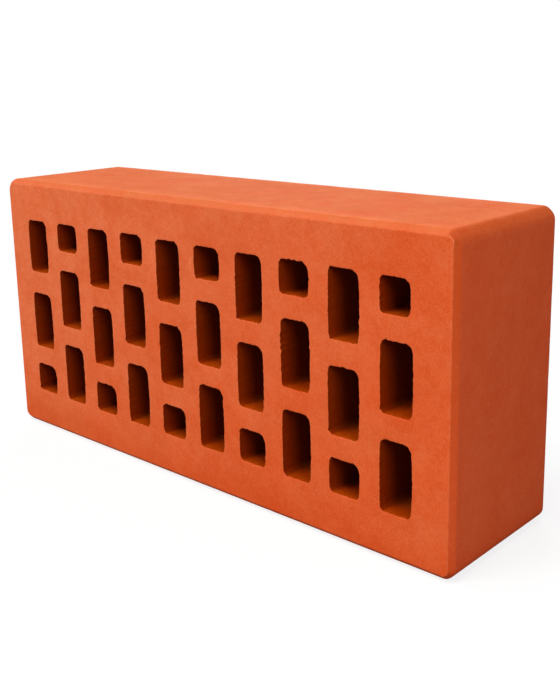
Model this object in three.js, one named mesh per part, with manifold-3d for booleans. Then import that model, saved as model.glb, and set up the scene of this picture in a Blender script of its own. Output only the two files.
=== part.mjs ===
import * as THREE from 'three';
import { mergeVertices } from 'three/addons/utils/BufferGeometryUtils.js';
import Module from 'manifold-3d';

// Perforated clay facing brick, standing on a stretcher face: X runs along its length, Z up its
// width, and the slots run through its thickness along Y, from one bed face to the other.
// Millimetres, +Z up, origin at the middle of the face that it stands on.

// Overall sizes of the fired brick
const brickLength = 250;
const brickWidth = 120;
const brickThickness = 65;

// The die rounds the edges that run with the clay column; the bed faces are chamfered after cutting
const dieEdgeRadius = 5;
const bedChamfer = 2;

// Slots left by the cores of the die, and the webs of clay between them
const slotWidth = 13.7;
const longSlotHeight = 26.2;
const shortSlotHeight = 13.1;
const slotCornerRadius = 2;
const webBetweenColumns = 9;
const webBetweenSlots = 9.2;

// Least clay left outside the slots
const endMargin = 15.5;
const stretcherMargin = 17;

// How far a core reaches past each bed face when it is cut out of the blank
const coreOverrun = 5;

// Segments in a quarter turn
const dieEdgeSegments = 6;
const slotCornerSegments = 3;

const wasm = await Module();
wasm.setup();

// Rectangle with four round corners, centred on (x, y)
function roundedRectangle(x, y, width, height, radius) {

	const left = x - width / 2;
	const right = x + width / 2;
	const bottom = y - height / 2;
	const top = y + height / 2;

	const outline = new THREE.Shape();
	outline.moveTo(left + radius, bottom);
	outline.lineTo(right - radius, bottom);
	outline.absarc(right - radius, bottom + radius, radius, - Math.PI / 2, 0);
	outline.lineTo(right, top - radius);
	outline.absarc(right - radius, top - radius, radius, 0, Math.PI / 2);
	outline.lineTo(left + radius, top);
	outline.absarc(left + radius, top - radius, radius, Math.PI / 2, Math.PI);
	outline.lineTo(left, bottom + radius);
	outline.absarc(left + radius, bottom + radius, radius, Math.PI, 1.5 * Math.PI);
	return outline;

}

// Turns an extrusion upright, with its outline in the XZ plane and its middle at Y = 0
function standUpright(geometry, straightDepth) {

	geometry.translate(0, 0, - straightDepth / 2);
	geometry.rotateX(Math.PI / 2);
	return geometry;

}

// The clay column that leaves the die, cut to the thickness of a brick and chamfered at both cuts
function blankGeometry() {

	const outline = roundedRectangle(0, brickWidth / 2, brickLength, brickWidth, dieEdgeRadius);
	const straightDepth = brickThickness - 2 * bedChamfer;
	const geometry = new THREE.ExtrudeGeometry(outline, {
		depth: straightDepth,
		curveSegments: dieEdgeSegments,
		bevelEnabled: true,
		bevelThickness: bedChamfer,
		bevelSize: bedChamfer,
		bevelOffset: - bedChamfer,
		bevelSegments: 1,
	});
	return standUpright(geometry, straightDepth);

}

// Slot outlines, in columns of long slots with one short slot that is at the bottom of one column
// and at the top of the next, so that no web runs straight across the brick
function slotOutlines() {

	const columnPitch = slotWidth + webBetweenColumns;
	const columnRoom = brickLength - 2 * endMargin + webBetweenColumns;
	const columnCount = Math.floor(columnRoom / columnPitch);
	const firstColumnX = - (columnCount - 1) * columnPitch / 2;

	const longPitch = longSlotHeight + webBetweenSlots;
	const longCount = Math.floor((brickWidth - 2 * stretcherMargin - shortSlotHeight) / longPitch);
	const columnHeight = longCount * longPitch + shortSlotHeight;
	const columnBottom = (brickWidth - columnHeight) / 2;

	const outlines = [];
	for (let column = 0; column < columnCount; column ++) {

		const heights = new Array(longCount).fill(longSlotHeight);
		const shortAtBottom = column % 2 === 0;
		if (shortAtBottom) heights.unshift(shortSlotHeight);
		else heights.push(shortSlotHeight);

		const x = firstColumnX + column * columnPitch;
		let bottom = columnBottom;
		for (const height of heights) {

			outlines.push(roundedRectangle(x, bottom + height / 2, slotWidth, height, slotCornerRadius));
			bottom += height + webBetweenSlots;

		}

	}

	return outlines;

}

// The cores of the die, each as long as the brick is thick and a little more
function coreGeometry() {

	const coreLength = brickThickness + 2 * coreOverrun;
	const geometry = new THREE.ExtrudeGeometry(slotOutlines(), {
		depth: coreLength,
		curveSegments: slotCornerSegments,
		bevelEnabled: false,
	});
	return standUpright(geometry, coreLength);

}

function toSolid(geometry) {

	geometry.deleteAttribute('normal');
	geometry.deleteAttribute('uv');
	const merged = mergeVertices(geometry, 1e-4);
	return new wasm.Manifold(new wasm.Mesh({
		numProp: 3,
		vertProperties: merged.getAttribute('position').array,
		triVerts: new Uint32Array(merged.getIndex().array),
	}));

}

function toGeometry(solid) {

	const mesh = solid.getMesh();
	const geometry = new THREE.BufferGeometry();
	geometry.setAttribute('position', new THREE.BufferAttribute(mesh.vertProperties, 3));
	geometry.setIndex(new THREE.BufferAttribute(mesh.triVerts, 1));
	geometry.computeVertexNormals();
	return geometry;

}

const firedClay = new THREE.MeshStandardMaterial({
	color: new THREE.Color(0xd75c31),
	roughness: 0.92,
	metalness: 0,
});

const perforatedSolid = toSolid(blankGeometry()).subtract(toSolid(coreGeometry()));

const brick = new THREE.Mesh(toGeometry(perforatedSolid), firedClay);
brick.name = 'brick';

const object = new THREE.Group();
object.name = 'clay_brick';
object.add(brick);

export default object;
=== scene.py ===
import math
import random

import bmesh
import bpy
from mathutils import Matrix, Vector, noise


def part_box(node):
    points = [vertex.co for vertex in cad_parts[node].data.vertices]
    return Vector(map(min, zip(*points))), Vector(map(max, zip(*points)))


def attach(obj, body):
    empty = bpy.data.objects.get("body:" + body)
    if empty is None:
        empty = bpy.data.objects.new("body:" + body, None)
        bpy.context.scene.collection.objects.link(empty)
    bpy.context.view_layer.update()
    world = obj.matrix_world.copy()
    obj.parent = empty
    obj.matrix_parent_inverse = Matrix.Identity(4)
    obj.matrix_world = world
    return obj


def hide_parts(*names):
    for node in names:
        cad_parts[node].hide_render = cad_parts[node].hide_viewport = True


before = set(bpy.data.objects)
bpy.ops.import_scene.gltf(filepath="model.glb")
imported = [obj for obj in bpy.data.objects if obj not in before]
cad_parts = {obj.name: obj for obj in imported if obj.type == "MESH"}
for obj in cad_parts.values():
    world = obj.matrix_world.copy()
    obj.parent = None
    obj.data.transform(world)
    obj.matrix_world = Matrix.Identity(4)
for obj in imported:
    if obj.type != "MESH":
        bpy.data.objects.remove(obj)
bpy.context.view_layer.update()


# ---------------------------------------------------------------------------
# Brick. One piece of red clay, pushed through a die whose cores leave the
# slots, cut across with a wire, chamfered along both cuts, dried and fired.
# ---------------------------------------------------------------------------

MM = 0.001
low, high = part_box("brick")
length = high.x - low.x
width = high.z - low.z
half_thickness = (high.y - low.y) / 2
middle = (low + high) / 2

# The die's edges run anticlockwise from the lower right one. A facet of 1 is a flat one.
die_edge_radii = (5 * MM, 5 * MM, 6.2 * MM, 5 * MM)
die_edge_facets = (0.3, 0.4, 0, 0.3)
skin_spacing = 0.75 * MM

# The shares by which the chamfer is narrower round the die edges at either end.
bed_chamfer = 2 * MM
chamfer_narrower_right = 0.25
chamfer_narrower_left = 0.1
chamfer_wander = 0.03 * MM
chamfer_nick = 0.5 * MM
upper_left_bulge = 0.5 * MM

column_count = 10
longs_in_column = 2
slot_width = 13.7 * MM
long_slot = 26.2 * MM
short_slot = 13.1 * MM
web_between_columns = 9 * MM
web_between_slots = 9.2 * MM
slot_corners = (1.9 * MM, 3.2 * MM, 2.1 * MM, 1.8 * MM)
slot_spacing = 0.45 * MM
mouth_lip = 0.12 * MM

# How the slots of this brick differ from the die's drawing. Rows count from the bottom.
slots_off_centre = (-0.4 * MM, 0.4 * MM)
taller_by_row = (0.45 * MM, 0.1 * MM, -0.25 * MM)
first_top_slot_shorter = 1.6 * MM
last_column_narrower = (0.4 * MM, 0.4 * MM, 1.4 * MM)

# The least and the most by which a slot then strays from that, by chance.
stray_x = (-0.2 * MM, 0.2 * MM)
stray_z = (-0.25 * MM, 0.25 * MM)
stray_across = (-0.3 * MM, 0.2 * MM)
stray_up = (-0.3 * MM, 0.3 * MM)
stray_corner = (0.85, 1.15)

# How far a slot's sides stand out halfway up, and how much further in the left one's ends are.
right_side_bow = 0.25 * MM
left_side_bow = 0.12 * MM
left_ends_in = 0.20 * MM

# How deep the wire tore the mouths of the slots.
mouth_swell = 0.08 * MM
mouth_grain = 0.13 * MM
mouth_grain_in_patches = 0.35 * MM
mouth_tear = 0.35 * MM
mouth_tear_at_top = 0.3 * MM
mouth_tear_at_lower_left = 4.0 * MM

# Clay where the wire cut it, where the die smoothed it, and on the walls that the cores drew.
# The second colour of each is painted shade, deeper towards the lower right, away from the
# light at the upper left. Black is painted shade that darkens the die skin towards the back.
clay_body = (0.805, 0.199, 0.092, 1)
clay_shaded_lower_right = (0.805, 0.154, 0.052, 1)
clay_pale = (0.860, 0.300, 0.140, 1)
skin_body = (0.790, 0.161, 0.068, 1)
skin_shaded_lower_right = (0.800, 0.135, 0.049, 1)
# Dust on what faces up, and also painted sheen on the top face.
skin_dust_and_sheen = (0.745, 0.213, 0.075, 1)
# The walls' colours are partly the deeper red of the clay there and partly painted shade of
# the slots.
wall_body_and_shade = (0.275, 0.034, 0.002, 1)
wall_lower_right_and_shade = (0.265, 0.032, 0.001, 1)
wall_pale_and_shade = (0.620, 0.100, 0.008, 1)
# Dust on the slot floors, and also painted light where light falls in from above.
wall_dust_and_light = (0.420, 0.055, 0.002, 1)
back_shade = (0, 0, 0, 1)

# What those are multiplied by, first in patterns and then at places on the brick.
clay_stain = (0.86, 0.46, 0.10, 1)
clay_sand = (0.97, 0.60, 0.12, 1)
clay_dull = (0.90, 0.99, 1.0, 1)
# Painted shade along the foot.
foot_shade = (0.92, 0.76, 0.56, 1)
# Painted light: deep in the slots the clay is made less red, offsetting the redder light
# there.
slot_light_tint = (1.0, 2.1, 2.5, 1)
clay_border = (1.10, 1.31, 1.43, 1)
# Painted shade on the chamfers, by whether they face up or aside and how high they stand.
chamfer_shade_up = (0.82, 0.69, 0.67, 1)
chamfer_shade_aside = (0.89, 0.77, 0.57, 1)
chamfer_shade_high = (0.90, 0.88, 0.76, 1)
# Painted shade that makes the upper right die edge browner.
right_die_edge_shade = (0.80, 0.79, 0.66, 1)

shuffle = random.Random(27)

brick_mesh = bmesh.new()
wear_layer = brick_mesh.verts.layers.float.new("wear")
die_edge_layer = brick_mesh.verts.layers.float.new("die_edge")

CUT_FACE, DIE_SKIN, CORE_WALL = range(3)


def rounded_outline(centre_x, centre_z, across, up, radii, spacing, facets=(0, 0, 0, 0)):
    """Evenly spaced points and outward directions round a rectangle with round corners.

    Radii and facets run anticlockwise from the lower right corner. A facet is how far the
    middle half of a corner's arc gives way to a flat, from 0 to 1.
    """
    around = 2 * (across + up) - (2 - math.pi / 2) * sum(radii)
    count = round(around / spacing)
    sides = (up, across, up, across)
    corners = ((1, -1), (1, 1), (-1, 1), (-1, -1))
    outline = []
    for index in range(count):
        travelled = around * index / count
        for side in range(4):
            start, end = radii[side], radii[(side + 1) % 4]
            turn = side * math.pi / 2
            outward = Vector((math.cos(turn), math.sin(turn)))
            onward = Vector((-outward.y, outward.x))
            sign_x, sign_z = corners[side]
            corner = Vector((sign_x * across / 2, sign_z * up / 2))
            straight = sides[side] - start - end
            if travelled <= straight:
                point = corner + onward * (start + travelled)
                break
            travelled -= straight
            arc = end * math.pi / 2
            if travelled <= arc:
                centre = corner + onward * (sides[side] - end) - outward * end
                bend = travelled / end
                flat = math.cos(math.pi / 8) / math.cos(bend - math.pi / 4)
                reach = end * (1 - facets[(side + 1) % 4] * max(0.0, 1 - flat))
                outward = Vector((math.cos(turn + bend), math.sin(turn + bend)))
                point = centre + outward * reach
                break
            travelled -= arc
        outline.append((point.x + centre_x, point.y + centre_z, outward.x, outward.y))
    return outline


def draw_through(outline, profile, ragged):
    """Draws an outline through the brick from bed face to bed face, as a tube of rings.

    The profile goes from the middle of the brick to a bed face, and both halves follow it:
    (step out of the outline, depth below the bed face, wear, share of raggedness).
    A point round a die edge is marked with how far it has turned from the flat, up to 1,
    and a chamfer is narrower there. Returns the edges of the first and the last ring.
    """
    front = [(out, depth - half_thickness, wear, share)
             for out, depth, wear, share in reversed(profile)]
    back = [(out, half_thickness - depth, wear, share) for out, depth, wear, share in profile]
    ring = bmesh.ops.create_circle(brick_mesh, segments=len(outline), radius=1)["verts"]
    first_edges = list({edge for vert in ring for edge in vert.link_edges})
    edges = first_edges
    for number, (step_out, y, wear, share) in enumerate(front + back):
        if number:
            new = bmesh.ops.extrude_edge_only(brick_mesh, edges=edges)["geom"]
            new_verts = {part for part in new if isinstance(part, bmesh.types.BMVert)}
            edges = [part for part in new if isinstance(part, bmesh.types.BMEdge)
                     and all(vert in new_verts for vert in part.verts)]
            ring = [next(edge.other_vert(vert) for edge in vert.link_edges
                         if edge.other_vert(vert) in new_verts) for vert in ring]
        for vert, (x, z, out_x, out_z) in zip(ring, outline):
            turned = 2 * abs(out_x * out_z)
            narrower = chamfer_narrower_right if out_x > 0 else chamfer_narrower_left
            out = step_out - narrower * turned * min(0.0, step_out)
            out += ragged(x, y, z, out_x, out_z) * share
            vert.co = (x + out_x * out, middle.y + y, z + out_z * out)
            vert[wear_layer] = wear
            vert[die_edge_layer] = turned
    return first_edges, edges


def waves(x, y, z, to_the_metre):
    """Smooth noise from about -1 to 1."""
    return noise.noise(Vector((x, y, z)) * to_the_metre)


def above(value, start):
    """How far a value goes past a start, and 0 up to there."""
    return max(0.0, value - start)


def arris_waver(x, y, z, out_x, out_z):
    """How far a chamfer wanders where the wet clay was struck off, and bulges upper left."""
    wander = waves(x, y * 3, z, to_the_metre=90)
    nick = above(waves(x, y * 7, z, to_the_metre=330), 0.45)
    depth = half_thickness - abs(y)
    mid_chamfer = above(1, abs(2 * depth / bed_chamfer - 1))
    upper_left = above(-2 * out_x * out_z, 0) if out_x < 0 else 0
    bulge = upper_left_bulge * upper_left * mid_chamfer
    return bulge - chamfer_wander * (1 + wander) - chamfer_nick * nick


def mouth_ragged(x, y, z, out_x, out_z):
    """How far the wire tore the clay at a slot's mouth.

    It tore most at the lower left corner, and more along the top than at the sides. Each
    bed face has noise of its own.
    """
    end = math.copysign(3, y)
    swell = waves(x, z, end, to_the_metre=110)
    patch = above(waves(x, z, end + 5, to_the_metre=150), -0.1)
    grain = waves(x, z, end, to_the_metre=980)
    torn = above(waves(x, z, end + 9, to_the_metre=620), 0.2)
    rough = mouth_grain + mouth_grain_in_patches * patch
    tear = mouth_tear + mouth_tear_at_top * above(out_z, 0)
    tear += mouth_tear_at_lower_left * above(-out_x - out_z, 1)
    return mouth_swell * swell + rough * grain + tear * torn


def bowed(outline, centre_z, up):
    """A slot's outline as the wet clay settled: both its sides bow out, the right one most."""
    settled = []
    for x, z, out_x, out_z in outline:
        to_end = (2 * (z - centre_z) / up) ** 2
        if out_x > 0:
            x += right_side_bow * (1 - 2 * to_end) * out_x
        else:
            x += (left_side_bow - left_ends_in * to_end) * out_x
        settled.append((x, z, out_x, out_z))
    return settled


# The skin that the die leaves, with the chamfer and its soft borders, to the flat of the bed.
skin_profile = [
    (0, bed_chamfer + 3.0 * MM, 0, 0),
    (0, bed_chamfer + 0.6 * MM, 0, 0),
    (0, bed_chamfer + 0.2 * MM, 0, 1),
    (-0.035 * MM, bed_chamfer + 0.02 * MM, 0.2, 1),
    (-0.14 * MM, bed_chamfer - 0.14 * MM, 0, 1),
    (-0.40 * MM, bed_chamfer - 0.40 * MM, 0, 0.7),
    (-bed_chamfer / 2, bed_chamfer / 2, 0, 0.7),
    (0.40 * MM - bed_chamfer, 0.40 * MM, 0, 0.7),
    (0.14 * MM - bed_chamfer, 0.14 * MM, 0.5, 1),
    (-0.02 * MM - bed_chamfer, 0.035 * MM, 1, 1),
    (-0.20 * MM - bed_chamfer, 0, 0.5, 1),
    (-0.50 * MM - bed_chamfer, 0, 0, 0.7),
    (-1.60 * MM - bed_chamfer, 0, 0, 0),
]
skin_outline = rounded_outline(middle.x, middle.z, length, width, die_edge_radii,
                               skin_spacing, die_edge_facets)
skin_ends = draw_through(skin_outline, skin_profile, arris_waver)
for face in brick_mesh.faces:
    face.material_index = DIE_SKIN

# A slot, from the middle of its wall to the flat round its mouth.
slot_profile = [
    (0, 7 * MM, 0, 0.15),
    (0, 1.6 * MM, 0, 0.9),
    (0, 0.13 * MM, 0, 1.3),
    (0.02 * MM, 0.02 * MM, 0, 1.3),
    (0.10 * MM, 0, 0, 1.2),
    (0.90 * MM, 0, 0, 0.6),
]
column_pitch = slot_width + web_between_columns
column_height = longs_in_column * (long_slot + web_between_slots) + short_slot
slot_ends = []
for column in range(column_count):
    heights = [long_slot] * longs_in_column
    heights.insert(0 if column % 2 == 0 else longs_in_column, short_slot)
    slot_x = middle.x + (column - (column_count - 1) / 2) * column_pitch
    slot_bottom = middle.z - column_height / 2
    for row, height in enumerate(heights):
        x = slot_x + slots_off_centre[0] + shuffle.uniform(*stray_x)
        z = slot_bottom + slots_off_centre[1] + height / 2 + shuffle.uniform(*stray_z)
        across = slot_width + shuffle.uniform(*stray_across)
        up = height + taller_by_row[row] + shuffle.uniform(*stray_up)
        if column == column_count - 1:
            across -= last_column_narrower[row]
            x -= last_column_narrower[row] / 2
        if column == 0 and row == longs_in_column:
            up -= first_top_slot_shorter
        corners = [corner * shuffle.uniform(*stray_corner) for corner in slot_corners]
        slot_outline = rounded_outline(x, z, across, up, corners, slot_spacing)
        before = set(brick_mesh.faces)
        slot_ends.append(draw_through(bowed(slot_outline, z, up), slot_profile, mouth_ragged))
        for face in set(brick_mesh.faces) - before:
            face.material_index = CORE_WALL
        slot_bottom += height + web_between_slots

# The two cuts of the wire, with the slots left open.
for end, facing in ((0, -1), (1, 1)):
    rim = list(skin_ends[end])
    for edges in slot_ends:
        rim += edges[end]
    bmesh.ops.triangle_fill(brick_mesh, use_beauty=True, edges=rim, normal=(0, facing, 0))

bmesh.ops.recalc_face_normals(brick_mesh, faces=brick_mesh.faces)
for face in brick_mesh.faces:
    face.smooth = True
    if abs(face.calc_center_median().y - middle.y) > half_thickness - mouth_lip:
        face.material_index = CUT_FACE

brick_data = bpy.data.meshes.new("fired_brick")
brick_mesh.to_mesh(brick_data)
brick_mesh.free()
brick = bpy.data.objects.new("fired_brick", brick_data)
bpy.context.scene.collection.objects.link(brick)


def clay_material(name, body, shaded_lower_right, pale, dust_and_light, dust_and_light_share, dust_and_light_lies, clouded, grain_height,
                  sheen, shaded_to_back, slot_light_tinted):
    """Fired red clay: clouds of every size from the kiln, a sandy grain, pale rubbed arrises.

    The body is painted deeper towards the lower right, as shade from the light at the upper
    left, and painted shade makes the upper right die edge browner.
    Dust_and_light_share is how much of the kiln's dust lies on what faces up; that dust is
    also painted sheen on the top face and painted light on the slot floors.
    Dust_and_light_lies holds how far a face leans upwards, from 0 to 1, where the dust begins
    and where it lies in full.
    Clouded is how strong the clouds and the sand are on what doesn't face up, shaded_to_back
    how much painted shade darkens the clay towards the back, and slot_light_tinted how much
    browner it is deep in the slots, as painted light that offsets the redder light there.
    """
    material = bpy.data.materials.new(name)
    material.use_nodes = True
    nodes = material.node_tree.nodes
    links = material.node_tree.links
    nodes.clear()

    output = nodes.new("ShaderNodeOutputMaterial")
    shader = nodes.new("ShaderNodeBsdfPrincipled")
    shader.inputs["Roughness"].default_value = 0.85
    shader.inputs["Specular IOR Level"].default_value = sheen
    shader.inputs["Sheen Weight"].default_value = sheen
    shader.inputs["Sheen Roughness"].default_value = 0.45
    shader.inputs["Sheen Tint"].default_value = (1, 0.68, 0.42, 1)
    links.new(shader.outputs["BSDF"], output.inputs["Surface"])
    coordinates = nodes.new("ShaderNodeTexCoord")
    place = coordinates.outputs["Object"]
    facing = coordinates.outputs["Normal"]

    def texture(scale, detail, roughness):
        node = nodes.new("ShaderNodeTexNoise")
        node.inputs["Scale"].default_value = scale
        node.inputs["Detail"].default_value = detail
        node.inputs["Roughness"].default_value = roughness
        links.new(place, node.inputs["Vector"])
        return node.outputs["Fac"]

    def attribute(layer):
        node = nodes.new("ShaderNodeAttribute")
        node.attribute_name = layer
        return node.outputs["Fac"]

    def along(vector, direction):
        node = nodes.new("ShaderNodeVectorMath")
        node.operation = "DOT_PRODUCT"
        node.inputs[1].default_value = direction
        links.new(vector, node.inputs[0])
        return node.outputs["Value"]

    def size_along(vector, direction):
        node = nodes.new("ShaderNodeMath")
        node.operation = "ABSOLUTE"
        links.new(along(vector, direction), node.inputs[0])
        return node.outputs["Value"]

    def ramp(value, start, end):
        node = nodes.new("ShaderNodeMapRange")
        node.interpolation_type = "SMOOTHSTEP"
        node.inputs["From Min"].default_value = start
        node.inputs["From Max"].default_value = end
        links.new(value, node.inputs["Value"])
        return node.outputs["Result"]

    def scaled(value, factor, added=0.0):
        node = nodes.new("ShaderNodeMath")
        node.operation = "MULTIPLY_ADD"
        node.inputs[1].default_value = factor
        node.inputs[2].default_value = added
        links.new(value, node.inputs[0])
        return node.outputs["Value"]

    def both(operation, one, other):
        node = nodes.new("ShaderNodeMath")
        node.operation = operation
        links.new(one, node.inputs[0])
        links.new(other, node.inputs[1])
        return node.outputs["Value"]

    def product(one, other):
        return both("MULTIPLY", one, other)

    def larger(one, other):
        return both("MAXIMUM", one, other)

    def mixed(share, one, other, blend="MIX"):
        node = nodes.new("ShaderNodeMix")
        node.data_type = "RGBA"
        node.blend_type = blend
        links.new(share, node.inputs["Factor"])
        # Sockets 6, 7 and 2 are the colours in and out, whose names other sockets share.
        for colour, socket in ((one, node.inputs[6]), (other, node.inputs[7])):
            if isinstance(colour, tuple):
                socket.default_value = colour
            else:
                links.new(colour, socket)
        return node.outputs[2]

    # The body of the clay, with painted shade from end to end and from front to back,
    # and painted light deep in the slots.
    # Painted shade: deeper towards the lower right.
    to_lower_right = ramp(along(place, (2.0, 0, -2.5)), -0.45, 0.12)
    colour = mixed(to_lower_right, body, shaded_lower_right)
    # Painted shade: the clay darkens towards the back.
    to_back = ramp(along(place, (0, 1, 0)), -half_thickness, half_thickness)
    colour = mixed(scaled(to_back, shaded_to_back), colour, back_shade)
    from_middle = size_along(place, (0, 1, 0))
    # Painted light: deep in the slots the clay is made less red.
    within = ramp(from_middle, half_thickness - 4 * MM, half_thickness - 15 * MM)
    colour = mixed(scaled(within, slot_light_tinted), colour, slot_light_tint, "MULTIPLY")

    # The kiln's dust on what faces up, which is also painted sheen on the top and painted
    # light on the slot floors, and the paler border that it has near the arrises.
    die_edge = attribute("die_edge")
    faces_up = ramp(along(facing, (0, 0, 1)), *dust_and_light_lies)
    on_top = product(faces_up, scaled(die_edge, -0.85, 1.0))
    in_patches = ramp(texture(scale=80, detail=5, roughness=0.9), 0.22, 0.66)
    dust_and_light_mask = product(on_top, in_patches)
    colour = mixed(scaled(dust_and_light_mask, 0.8 * dust_and_light_share), colour, dust_and_light)
    near_cut = ramp(from_middle, half_thickness - 15 * MM, half_thickness + 1 * MM)
    near_cut = product(near_cut, near_cut)
    near_end = ramp(size_along(place, (1, 0, 0)), length / 2 - 14 * MM, length / 2 - 2 * MM)
    near_end = scaled(product(near_end, near_end), 0.5)
    border = product(on_top, larger(near_cut, near_end))
    colour = mixed(scaled(border, dust_and_light_share), colour, clay_border, "MULTIPLY")

    # The chamfers, which were struck off the wet clay, with painted shade by the way they
    # face, and painted shade on the upper right die edge.
    slant = size_along(facing, (0, 1, 0))
    struck = product(ramp(slant, 0.3, 0.5), ramp(slant, 0.97, 0.85))
    colour = mixed(product(struck, faces_up), colour, chamfer_shade_up, "MULTIPLY")
    aside = product(struck, scaled(faces_up, -1.0, 1.0))
    colour = mixed(aside, colour, chamfer_shade_aside, "MULTIPLY")
    high_up = ramp(along(place, (0, 0, 1)), 0.25 * width, 0.85 * width)
    colour = mixed(product(aside, high_up), colour, chamfer_shade_high, "MULTIPLY")
    # Painted shade on the upper right die edge.
    to_right = ramp(along(place, (1, 0, 0)), 0, length / 2)
    turned = product(ramp(die_edge, 0.1, 0.85), product(to_right, high_up))
    colour = mixed(scaled(turned, dust_and_light_share), colour, right_die_edge_shade, "MULTIPLY")

    # Clouds, sand, dull patches, pits and specks, and painted shade along the foot.
    less_if_struck = scaled(struck, -0.45, 1.0)
    strength = product(scaled(on_top, 0.85 - clouded, clouded), less_if_struck)
    clouds = ramp(texture(scale=32, detail=6, roughness=0.9), 0.30, 0.70)
    sand = ramp(texture(scale=1500, detail=3, roughness=0.8), 0.36, 0.64)
    dulled = ramp(texture(scale=47, detail=2, roughness=0.6), 0.35, 0.65)
    pits = ramp(texture(scale=620, detail=2, roughness=0.5), 0.69, 0.75)
    specks = ramp(texture(scale=820, detail=2, roughness=0.5), 0.68, 0.76)
    colour = mixed(product(scaled(clouds, 0.64), strength), colour, clay_stain, "MULTIPLY")
    colour = mixed(product(scaled(sand, 0.65), strength), colour, clay_sand, "MULTIPLY")
    colour = mixed(product(scaled(dulled, 0.30), strength), colour, clay_dull, "MULTIPLY")
    colour = mixed(scaled(pits, 0.35), colour, clay_stain, "MULTIPLY")
    colour = mixed(scaled(specks, 0.22), colour, pale)
    # Painted shade along the foot.
    foot_shaded = ramp(along(place, (-0.03, 0, -1)), -18 * MM, -1 * MM)
    colour = mixed(foot_shaded, colour, foot_shade, "MULTIPLY")

    # The arrises, rubbed pale in places, most of all round the die edges.
    at_corners = scaled(die_edge, 0.65, 0.35)
    in_places = ramp(texture(scale=300, detail=3, roughness=0.6), 0.36, 0.62)
    rubbed = product(product(attribute("wear"), at_corners), in_places)
    colour = mixed(scaled(rubbed, 0.55), colour, pale)
    links.new(colour, shader.inputs["Base Color"])

    grain = nodes.new("ShaderNodeBump")
    grain.inputs["Strength"].default_value = 1.0
    grain.inputs["Distance"].default_value = grain_height
    links.new(texture(scale=1400, detail=3, roughness=0.7), grain.inputs["Height"])
    swells = nodes.new("ShaderNodeBump")
    swells.inputs["Strength"].default_value = 1.0
    swells.inputs["Distance"].default_value = 0.25 * MM
    links.new(texture(scale=60, detail=3, roughness=0.5), swells.inputs["Height"])
    links.new(grain.outputs["Normal"], swells.inputs["Normal"])
    links.new(swells.outputs["Normal"], shader.inputs["Normal"])
    return material


cut_face = clay_material(
    "wire_cut_clay", body=clay_body, shaded_lower_right=clay_shaded_lower_right, pale=clay_pale, dust_and_light=clay_pale,
    dust_and_light_share=0, dust_and_light_lies=(0.2, 0.7), clouded=1, grain_height=0.007 * MM, sheen=0.08,
    shaded_to_back=0, slot_light_tinted=0)
die_skin = clay_material(
    "die_drawn_clay", body=skin_body, shaded_lower_right=skin_shaded_lower_right, pale=clay_pale, dust_and_light=skin_dust_and_sheen,
    dust_and_light_share=1, dust_and_light_lies=(0.2, 0.7), clouded=0.7, grain_height=0.007 * MM, sheen=0.03,
    shaded_to_back=0.07, slot_light_tinted=0)
core_wall = clay_material(
    "core_drawn_clay_and_shade", body=wall_body_and_shade, shaded_lower_right=wall_lower_right_and_shade, pale=wall_pale_and_shade, dust_and_light=wall_dust_and_light,
    dust_and_light_share=1, dust_and_light_lies=(0.8, 0.98), clouded=1, grain_height=0.03 * MM, sheen=0,
    shaded_to_back=0, slot_light_tinted=1)
for material in (cut_face, die_skin, core_wall):
    brick_data.materials.append(material)

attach(brick, "root")
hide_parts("brick")


# ---------------------------------------------------------------------------
# Floor. A sheet of matt white studio paper, far wider than the brick. It throws
# back little light, and away from the brick it is as white as the room.
# ---------------------------------------------------------------------------

floor_half = 6
floor_gap = 0.2 * MM

floor_mesh = bmesh.new()
bmesh.ops.create_grid(floor_mesh, x_segments=1, y_segments=1, size=floor_half,
                      matrix=Matrix.Translation((0, 0, -floor_gap)))
floor_data = bpy.data.meshes.new("studio_floor")
floor_mesh.to_mesh(floor_data)
floor_mesh.free()
floor = bpy.data.objects.new("studio_floor", floor_data)
bpy.context.scene.collection.objects.link(floor)


def looked_at(nodes, links):
    """1 where the eye meets a surface directly, in a reflection or through glass, else 0."""
    ray = nodes.new("ShaderNodeLightPath")
    either = nodes.new("ShaderNodeMath")
    either.operation = "MAXIMUM"
    links.new(ray.outputs["Is Camera Ray"], either.inputs[0])
    links.new(ray.outputs["Is Glossy Ray"], either.inputs[1])
    any_of_them = nodes.new("ShaderNodeMath")
    any_of_them.operation = "MAXIMUM"
    links.new(either.outputs["Value"], any_of_them.inputs[0])
    links.new(ray.outputs["Is Transmission Ray"], any_of_them.inputs[1])
    return any_of_them.outputs["Value"]


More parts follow.
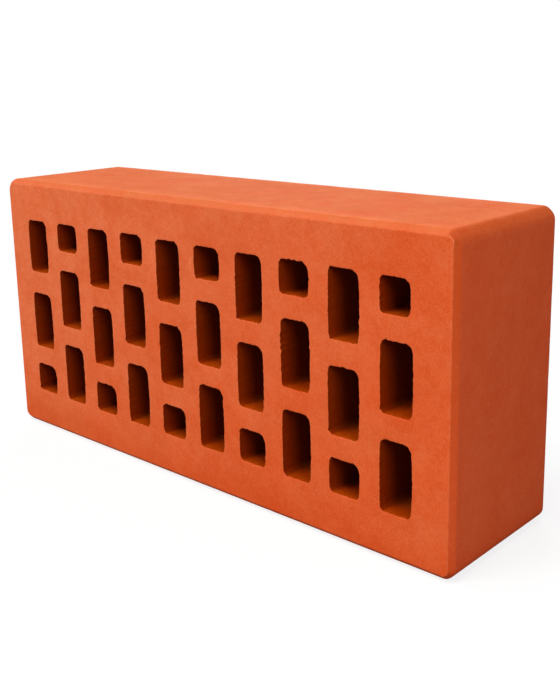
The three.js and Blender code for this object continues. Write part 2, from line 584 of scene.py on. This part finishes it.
def floor_material(thrown_back, glow_near, near, far):
    """Paper that shows white and keeps a shadow, and throws back only part of its light.

    Its glow is glow_near up to near and grows to 1 at far. Both of those are distances from
    under the brick's middle, in metres.
    """
    paper = bpy.data.materials.new("white_paper")
    paper.use_nodes = True
    nodes = paper.node_tree.nodes
    links = paper.node_tree.links
    nodes.clear()
    output = nodes.new("ShaderNodeOutputMaterial")
    lit = nodes.new("ShaderNodeBsdfDiffuse")
    lit.inputs["Color"].default_value = (1, 1, 1, 1)
    glow = nodes.new("ShaderNodeEmission")
    glow.inputs["Strength"].default_value = 1
    dull = nodes.new("ShaderNodeBsdfDiffuse")
    dull.inputs["Color"].default_value = (*[thrown_back] * 3, 1)

    place = nodes.new("ShaderNodeTexCoord")
    distance = nodes.new("ShaderNodeVectorMath")
    distance.operation = "LENGTH"
    links.new(place.outputs["Object"], distance.inputs[0])
    share = nodes.new("ShaderNodeMapRange")
    share.interpolation_type = "SMOOTHSTEP"
    share.inputs["From Min"].default_value = near
    share.inputs["From Max"].default_value = far
    share.inputs["To Min"].default_value = glow_near
    share.inputs["To Max"].default_value = 1
    links.new(distance.outputs["Value"], share.inputs["Value"])

    seen = nodes.new("ShaderNodeMixShader")
    links.new(share.outputs["Result"], seen.inputs["Fac"])
    links.new(lit.outputs["BSDF"], seen.inputs[1])
    links.new(glow.outputs["Emission"], seen.inputs[2])
    choice = nodes.new("ShaderNodeMixShader")
    links.new(looked_at(nodes, links), choice.inputs["Fac"])
    links.new(dull.outputs["BSDF"], choice.inputs[1])
    links.new(seen.outputs["Shader"], choice.inputs[2])
    links.new(choice.outputs["Shader"], output.inputs["Surface"])
    return paper


floor_data.materials.append(floor_material(thrown_back=0.15, glow_near=0.8,
                                           near=0.2, far=0.7))


# ---------------------------------------------------------------------------
# Light. A large soft lamp to the left of the front, a wide one high overhead and a
# little forward, a small one at the right, a large one behind, and a dim white room.
# ---------------------------------------------------------------------------

def soft_lamp(name, place, size, watts):
    """A square lamp that faces the middle of the brick."""
    lamp = bpy.data.lights.new(name, "AREA")
    lamp.shape = "SQUARE"
    lamp.size = size
    lamp.energy = watts
    holder = bpy.data.objects.new(name, lamp)
    holder.location = place
    holder.rotation_euler = (Vector(place) - middle).to_track_quat("Z", "Y").to_euler()
    bpy.context.scene.collection.objects.link(holder)


soft_lamp("key_lamp", (-0.6, -1.35, 0.42), size=0.8, watts=12.4)
soft_lamp("overhead_lamp", (-0.05, -0.8, 2.5), size=1.4, watts=44)
soft_lamp("end_lamp", (0.95, -0.41, 0.50), size=0.45, watts=4.95)
soft_lamp("rear_lamp", (-0.85, 1.15, 0.45), size=0.9, watts=12)

room = bpy.data.worlds.new("white_room")
bpy.context.scene.world = room
room.use_nodes = True
room_nodes = room.node_tree.nodes
room_links = room.node_tree.links
room_nodes.clear()
room_output = room_nodes.new("ShaderNodeOutputWorld")
room_light = room_nodes.new("ShaderNodeBackground")
room_light.inputs["Color"].default_value = (1, 1, 1, 1)
room_light.inputs["Strength"].default_value = 0.12
room_seen = room_nodes.new("ShaderNodeBackground")
room_seen.inputs["Color"].default_value = (1, 1, 1, 1)
room_seen.inputs["Strength"].default_value = 1.0
room_choice = room_nodes.new("ShaderNodeMixShader")
room_links.new(looked_at(room_nodes, room_links), room_choice.inputs["Fac"])
room_links.new(room_light.outputs["Background"], room_choice.inputs[1])
room_links.new(room_seen.outputs["Background"], room_choice.inputs[2])
room_links.new(room_choice.outputs["Shader"], room_output.inputs["Surface"])


# ---------------------------------------------------------------------------
# Camera. It stands off the front right corner of the brick, a little above the level of
# its top, and looks slightly down. Its frame is moved down, which lifts the brick in it.
# ---------------------------------------------------------------------------

camera_data = bpy.data.cameras.new("camera")
camera_data.lens = 50.5
camera_data.sensor_width = 36
camera_data.shift_y = -0.1
camera_data.clip_start = 0.01
camera_data.clip_end = 50
camera = bpy.data.objects.new("camera", camera_data)
camera.location = (0.2850, -0.2888, 0.1725)
camera.rotation_euler = [math.radians(angle) for angle in (77.33, 1.13, 42.27)]
bpy.context.scene.collection.objects.link(camera)
bpy.context.scene.camera = camera

bpy.context.scene.view_settings.view_transform = "Standard"
